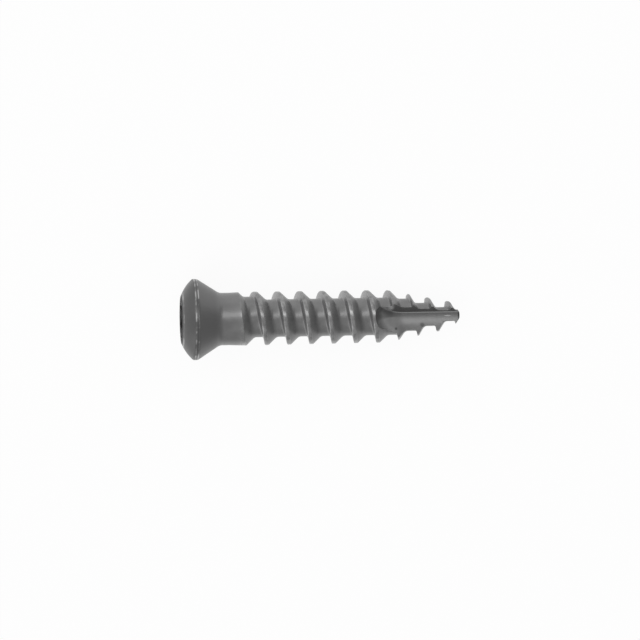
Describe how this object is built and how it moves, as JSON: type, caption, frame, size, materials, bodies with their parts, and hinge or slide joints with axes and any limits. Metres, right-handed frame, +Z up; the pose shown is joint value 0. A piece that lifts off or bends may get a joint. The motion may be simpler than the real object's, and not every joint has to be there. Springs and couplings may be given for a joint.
{
  "type": "bone screw",
  "caption": "Self-tapping orthopedic bone screw: domed countersunk head with a hexagon socket, smooth neck, coarse asymmetric thread and a tapered fluted tip.",
  "frame": {"origin": "on the surface that the screw lies on, below the middle of its box", "axes": "+X along the screw from the head to the tip, +Z up. The screw's own axis dips towards the tip by 4.82 degrees, because it lies on its head's rim and on a thread crest"},
  "size_m": [0.0212, 0.0062, 0.0061],
  "materials": {
    "grey_titanium": "grey titanium alloy, fine blasted and satin, with bright worn edges"
  },
  "bodies": {
    "root": {"bone_screw": "grey_titanium"}
  },
  "joints": []
}
